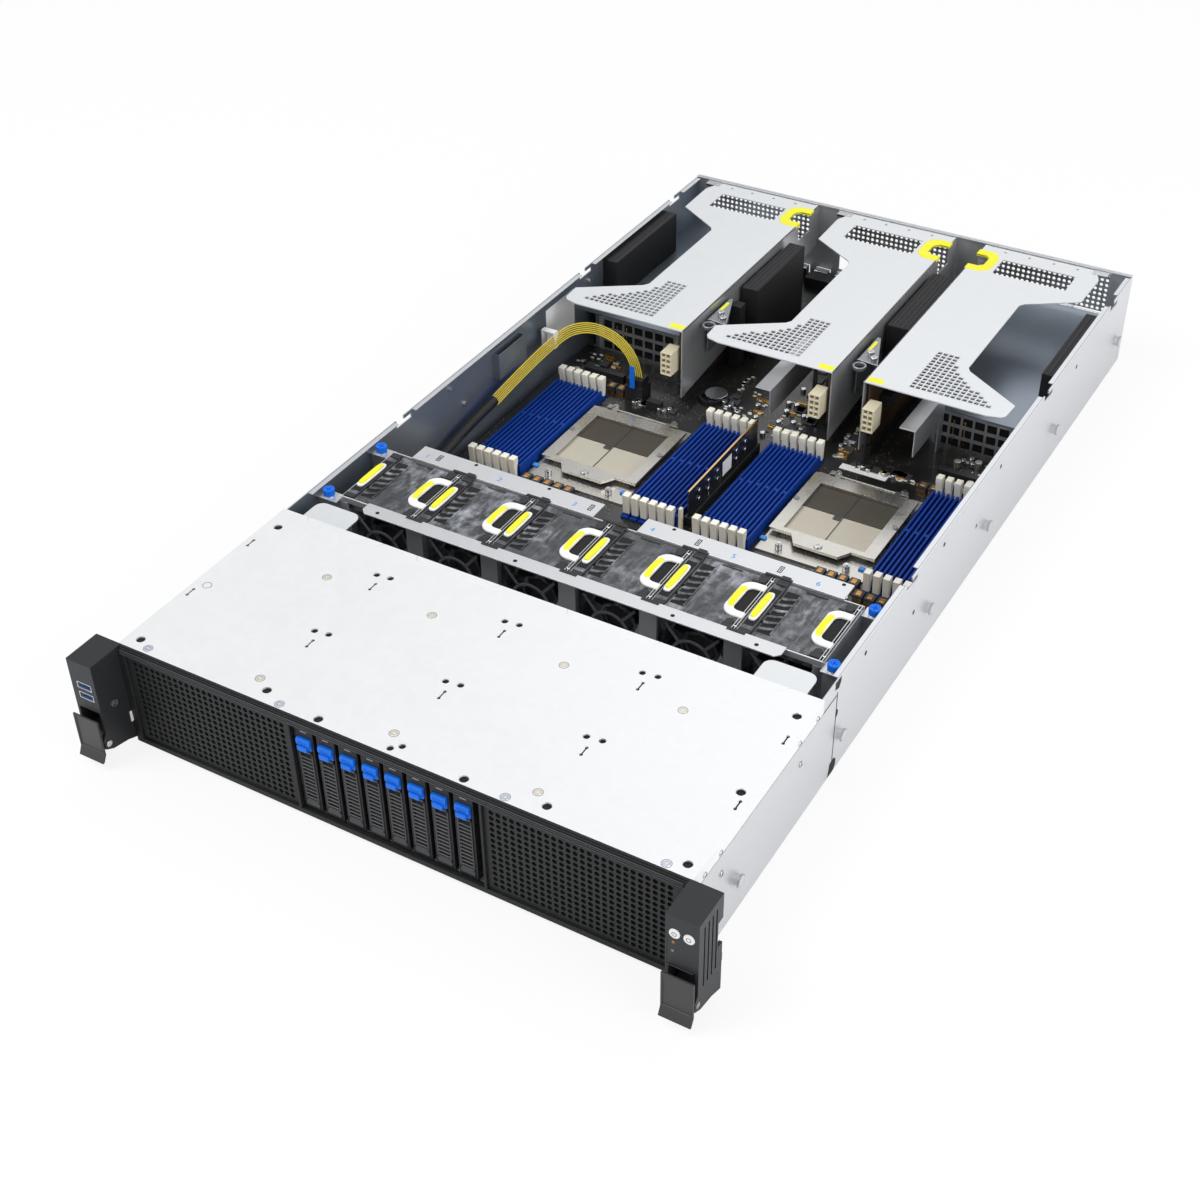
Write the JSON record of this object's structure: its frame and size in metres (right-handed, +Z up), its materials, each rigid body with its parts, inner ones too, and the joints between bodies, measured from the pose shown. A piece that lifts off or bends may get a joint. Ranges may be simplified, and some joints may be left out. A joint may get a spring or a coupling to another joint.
{
  "type": "2U rack server",
  "caption": "Shallow steel rack server with its top cover off: hot-swap drives and grilles in front, then lift-out fans, memory and processor board, card risers and power supplies.",
  "frame": {"origin": "under the middle of the whole server, on the plane of the tray's bottom", "axes": "+Y from the front bezel to the rear panel, +X to the right seen from the front, +Z up"},
  "size_m": [0.48, 0.9006, 0.0875],
  "materials": {
    "chassis_steel": "satin",
    "cover_steel": "satin",
    "riser_steel": "satin",
    "frame_steel": "satin",
    "psu_steel": "satin",
    "bezel_black": "satin",
    "ear_black": "matte",
    "carrier_black": "matte",
    "block_black": "matte",
    "fan_black": "matte",
    "rotor_grey": "matte",
    "button_grey": "gloss",
    "release_blue": "satin",
    "latch_ivory": "satin",
    "board_black": "satin",
    "cable_yellow": "satin"
  },
  "bodies": {
    "chassis": {"chassis": "chassis_steel", "front_cover": "cover_steel", "front_bezel": "bezel_black", "rack_ears": "ear_black", "drive_cage": "chassis_steel", "fan_wall": "chassis_steel", "motherboard": "board_black", "air_blocks": "block_black", "power_cable": "cable_yellow"},
    "ear_latch_left": {"ear_latch_left": "ear_black"},
    "ear_latch_right": {"ear_latch_right": "ear_black"},
    "power_button": {"power_button": "button_grey"},
    "id_button": {"id_button": "button_grey"},
    "drive_carrier_1": {"drive_carrier_1": "carrier_black"},
    "carrier_lever_1": {"carrier_lever_1": "carrier_black"},
    "release_button_1": {"release_button_1": "release_blue"},
    "drive_carrier_2": {"drive_carrier_2": "carrier_black"},
    "carrier_lever_2": {"carrier_lever_2": "carrier_black"},
    "release_button_2": {"release_button_2": "release_blue"},
    "drive_carrier_3": {"drive_carrier_3": "carrier_black"},
    "carrier_lever_3": {"carrier_lever_3": "carrier_black"},
    "release_button_3": {"release_button_3": "release_blue"},
    "drive_carrier_4": {"drive_carrier_4": "carrier_black"},
    "carrier_lever_4": {"carrier_lever_4": "carrier_black"},
    "release_button_4": {"release_button_4": "release_blue"},
    "drive_carrier_5": {"drive_carrier_5": "carrier_black"},
    "carrier_lever_5": {"carrier_lever_5": "carrier_black"},
    "release_button_5": {"release_button_5": "release_blue"},
    "drive_carrier_6": {"drive_carrier_6": "carrier_black"},
    "carrier_lever_6": {"carrier_lever_6": "carrier_black"},
    "release_button_6": {"release_button_6": "release_blue"},
    "drive_carrier_7": {"drive_carrier_7": "carrier_black"},
    "carrier_lever_7": {"carrier_lever_7": "carrier_black"},
    "release_button_7": {"release_button_7": "release_blue"},
    "drive_carrier_8": {"drive_carrier_8": "carrier_black"},
    "carrier_lever_8": {"carrier_lever_8": "carrier_black"},
    "release_button_8": {"release_button_8": "release_blue"},
    "fan_module_1": {"fan_module_1": "fan_black"},
    "fan_rotor_1": {"fan_rotor_1": "rotor_grey"},
    "fan_module_2": {"fan_module_2": "fan_black"},
    "fan_rotor_2": {"fan_rotor_2": "rotor_grey"},
    "fan_module_3": {"fan_module_3": "fan_black"},
    "fan_rotor_3": {"fan_rotor_3": "rotor_grey"},
    "fan_module_4": {"fan_module_4": "fan_black"},
    "fan_rotor_4": {"fan_rotor_4": "rotor_grey"},
    "fan_module_5": {"fan_module_5": "fan_black"},
    "fan_rotor_5": {"fan_rotor_5": "rotor_grey"},
    "fan_module_6": {"fan_module_6": "fan_black"},
    "fan_rotor_6": {"fan_rotor_6": "rotor_grey"},
    "socket_frame_left": {"socket_frame_left": "frame_steel"},
    "socket_frame_right": {"socket_frame_right": "frame_steel"},
    "dimm_latches_front": {"dimm_latches_front": "latch_ivory"},
    "dimm_latches_rear": {"dimm_latches_rear": "latch_ivory"},
    "riser_left": {"riser_left": "riser_steel"},
    "riser_center": {"riser_center": "riser_steel"},
    "riser_right": {"riser_right": "riser_steel"},
    "psu_left": {"psu_left": "psu_steel"},
    "psu_latch_left": {"psu_latch_left": "release_blue"},
    "psu_right": {"psu_right": "psu_steel"},
    "psu_latch_right": {"psu_latch_right": "release_blue"}
  },
  "joints": [
    {"name": "ear_latch_left_pull", "type": "hinge", "parent": "chassis", "child": "ear_latch_left", "pos_m": [-0.229, -0.4407, 0.019], "axis": [1, 0, 0], "range_deg": [0, 30], "stiffness_Nm_per_rad": 0.2},
    {"name": "ear_latch_right_pull", "type": "hinge", "parent": "chassis", "child": "ear_latch_right", "pos_m": [0.229, -0.4407, 0.019], "axis": [1, 0, 0], "range_deg": [0, 30], "stiffness_Nm_per_rad": 0.2},
    {"name": "power_button_press", "type": "slide", "parent": "chassis", "child": "power_button", "axis": [0, 1, 0], "range_m": [0, 0.0008], "stiffness_N_per_m": 600},
    {"name": "id_button_press", "type": "slide", "parent": "chassis", "child": "id_button", "axis": [0, 1, 0], "range_m": [0, 0.0008], "stiffness_N_per_m": 600},
    {"name": "drive_1_slide", "type": "slide", "parent": "chassis", "child": "drive_carrier_1", "axis": [0, -1, 0], "range_m": [0, 0.12]},
    {"name": "lever_1_swing", "type": "hinge", "parent": "drive_carrier_1", "child": "carrier_lever_1", "pos_m": [-0.0636, -0.4111, 0.013], "axis": [1, 0, 0], "range_deg": [0, 75]},
    {"name": "release_1_press", "type": "slide", "parent": "drive_carrier_1", "child": "release_button_1", "axis": [0, 1, 0], "range_m": [0, 0.0012], "stiffness_N_per_m": 800},
    {"name": "drive_2_slide", "type": "slide", "parent": "chassis", "child": "drive_carrier_2", "axis": [0, -1, 0], "range_m": [0, 0.12]},
    {"name": "lever_2_swing", "type": "hinge", "parent": "drive_carrier_2", "child": "carrier_lever_2", "pos_m": [-0.04594, -0.4111, 0.013], "axis": [1, 0, 0], "range_deg": [0, 75]},
    {"name": "release_2_press", "type": "slide", "parent": "drive_carrier_2", "child": "release_button_2", "axis": [0, 1, 0], "range_m": [0, 0.0012], "stiffness_N_per_m": 800},
    {"name": "drive_3_slide", "type": "slide", "parent": "chassis", "child": "drive_carrier_3", "axis": [0, -1, 0], "range_m": [0, 0.12]},
    {"name": "lever_3_swing", "type": "hinge", "parent": "drive_carrier_3", "child": "carrier_lever_3", "pos_m": [-0.02828, -0.4111, 0.013], "axis": [1, 0, 0], "range_deg": [0, 75]},
    {"name": "release_3_press", "type": "slide", "parent": "drive_carrier_3", "child": "release_button_3", "axis": [0, 1, 0], "range_m": [0, 0.0012], "stiffness_N_per_m": 800},
    {"name": "drive_4_slide", "type": "slide", "parent": "chassis", "child": "drive_carrier_4", "axis": [0, -1, 0], "range_m": [0, 0.12]},
    {"name": "lever_4_swing", "type": "hinge", "parent": "drive_carrier_4", "child": "carrier_lever_4", "pos_m": [-0.01062, -0.4111, 0.013], "axis": [1, 0, 0], "range_deg": [0, 75]},
    {"name": "release_4_press", "type": "slide", "parent": "drive_carrier_4", "child": "release_button_4", "axis": [0, 1, 0], "range_m": [0, 0.0012], "stiffness_N_per_m": 800},
    {"name": "drive_5_slide", "type": "slide", "parent": "chassis", "child": "drive_carrier_5", "axis": [0, -1, 0], "range_m": [0, 0.12]},
    {"name": "lever_5_swing", "type": "hinge", "parent": "drive_carrier_5", "child": "carrier_lever_5", "pos_m": [0.00704, -0.4111, 0.013], "axis": [1, 0, 0], "range_deg": [0, 75]},
    {"name": "release_5_press", "type": "slide", "parent": "drive_carrier_5", "child": "release_button_5", "axis": [0, 1, 0], "range_m": [0, 0.0012], "stiffness_N_per_m": 800},
    {"name": "drive_6_slide", "type": "slide", "parent": "chassis", "child": "drive_carrier_6", "axis": [0, -1, 0], "range_m": [0, 0.12]},
    {"name": "lever_6_swing", "type": "hinge", "parent": "drive_carrier_6", "child": "carrier_lever_6", "pos_m": [0.0247, -0.4111, 0.013], "axis": [1, 0, 0], "range_deg": [0, 75]},
    {"name": "release_6_press", "type": "slide", "parent": "drive_carrier_6", "child": "release_button_6", "axis": [0, 1, 0], "range_m": [0, 0.0012], "stiffness_N_per_m": 800},
    {"name": "drive_7_slide", "type": "slide", "parent": "chassis", "child": "drive_carrier_7", "axis": [0, -1, 0], "range_m": [0, 0.12]},
    {"name": "lever_7_swing", "type": "hinge", "parent": "drive_carrier_7", "child": "carrier_lever_7", "pos_m": [0.04236, -0.4111, 0.013], "axis": [1, 0, 0], "range_deg": [0, 75]},
    {"name": "release_7_press", "type": "slide", "parent": "drive_carrier_7", "child": "release_button_7", "axis": [0, 1, 0], "range_m": [0, 0.0012], "stiffness_N_per_m": 800},
    {"name": "drive_8_slide", "type": "slide", "parent": "chassis", "child": "drive_carrier_8", "axis": [0, -1, 0], "range_m": [0, 0.12]},
    {"name": "lever_8_swing", "type": "hinge", "parent": "drive_carrier_8", "child": "carrier_lever_8", "pos_m": [0.06002, -0.4111, 0.013], "axis": [1, 0, 0], "range_deg": [0, 75]},
    {"name": "release_8_press", "type": "slide", "parent": "drive_carrier_8", "child": "release_button_8", "axis": [0, 1, 0], "range_m": [0, 0.0012], "stiffness_N_per_m": 800},
    {"name": "fan_1_lift", "type": "slide", "parent": "chassis", "child": "fan_module_1", "axis": [0, 0, 1], "range_m": [0, 0.09]},
    {"name": "fan_1_spin", "type": "hinge", "parent": "fan_module_1", "child": "fan_rotor_1", "pos_m": [-0.1635, -0.1757, 0.044], "axis": [0, 1, 0], "continuous": true},
    {"name": "fan_2_lift", "type": "slide", "parent": "chassis", "child": "fan_module_2", "axis": [0, 0, 1], "range_m": [0, 0.09]},
    {"name": "fan_2_spin", "type": "hinge", "parent": "fan_module_2", "child": "fan_rotor_2", "pos_m": [-0.0971, -0.1757, 0.044], "axis": [0, 1, 0], "continuous": true},
    {"name": "fan_3_lift", "type": "slide", "parent": "chassis", "child": "fan_module_3", "axis": [0, 0, 1], "range_m": [0, 0.09]},
    {"name": "fan_3_spin", "type": "hinge", "parent": "fan_module_3", "child": "fan_rotor_3", "pos_m": [-0.0307, -0.1757, 0.044], "axis": [0, 1, 0], "continuous": true},
    {"name": "fan_4_lift", "type": "slide", "parent": "chassis", "child": "fan_module_4", "axis": [0, 0, 1], "range_m": [0, 0.09]},
    {"name": "fan_4_spin", "type": "hinge", "parent": "fan_module_4", "child": "fan_rotor_4", "pos_m": [0.0357, -0.1757, 0.044], "axis": [0, 1, 0], "continuous": true},
    {"name": "fan_5_lift", "type": "slide", "parent": "chassis", "child": "fan_module_5", "axis": [0, 0, 1], "range_m": [0, 0.09]},
    {"name": "fan_5_spin", "type": "hinge", "parent": "fan_module_5", "child": "fan_rotor_5", "pos_m": [0.1021, -0.1757, 0.044], "axis": [0, 1, 0], "continuous": true},
    {"name": "fan_6_lift", "type": "slide", "parent": "chassis", "child": "fan_module_6", "axis": [0, 0, 1], "range_m": [0, 0.09]},
    {"name": "fan_6_spin", "type": "hinge", "parent": "fan_module_6", "child": "fan_rotor_6", "pos_m": [0.1685, -0.1757, 0.044], "axis": [0, 1, 0], "continuous": true},
    {"name": "socket_frame_left_lift", "type": "hinge", "parent": "chassis", "child": "socket_frame_left", "pos_m": [-0.1035, 0.1053, 0.016], "axis": [-1, 0, 0], "range_deg": [0, 100]},
    {"name": "socket_frame_right_lift", "type": "hinge", "parent": "chassis", "child": "socket_frame_right", "pos_m": [0.1095, 0.1053, 0.016], "axis": [-1, 0, 0], "range_deg": [0, 100]},
    {"name": "dimm_latches_front_open", "type": "hinge", "parent": "chassis", "child": "dimm_latches_front", "pos_m": [0, -0.0207, 0.0146], "axis": [1, 0, 0], "range_deg": [0, 35]},
    {"name": "dimm_latches_rear_open", "type": "hinge", "parent": "chassis", "child": "dimm_latches_rear", "pos_m": [0, 0.1253, 0.0146], "axis": [-1, 0, 0], "range_deg": [0, 35]},
    {"name": "riser_left_lift", "type": "slide", "parent": "chassis", "child": "riser_left", "axis": [0, 0, 1], "range_m": [0, 0.09]},
    {"name": "riser_center_lift", "type": "slide", "parent": "chassis", "child": "riser_center", "axis": [0, 0, 1], "range_m": [0, 0.09]},
    {"name": "riser_right_lift", "type": "slide", "parent": "chassis", "child": "riser_right", "axis": [0, 0, 1], "range_m": [0, 0.09]},
    {"name": "psu_left_slide", "type": "slide", "parent": "chassis", "child": "psu_left", "axis": [0, 1, 0], "range_m": [0, 0.2]},
    {"name": "psu_latch_left_press", "type": "slide", "parent": "psu_left", "child": "psu_latch_left", "axis": [-1, 0, 0], "range_m": [0, 0.0025], "stiffness_N_per_m": 500},
    {"name": "psu_right_slide", "type": "slide", "parent": "chassis", "child": "psu_right", "axis": [0, 1, 0], "range_m": [0, 0.2]},
    {"name": "psu_latch_right_press", "type": "slide", "parent": "psu_right", "child": "psu_latch_right", "axis": [-1, 0, 0], "range_m": [0, 0.0025], "stiffness_N_per_m": 500}
  ]
}
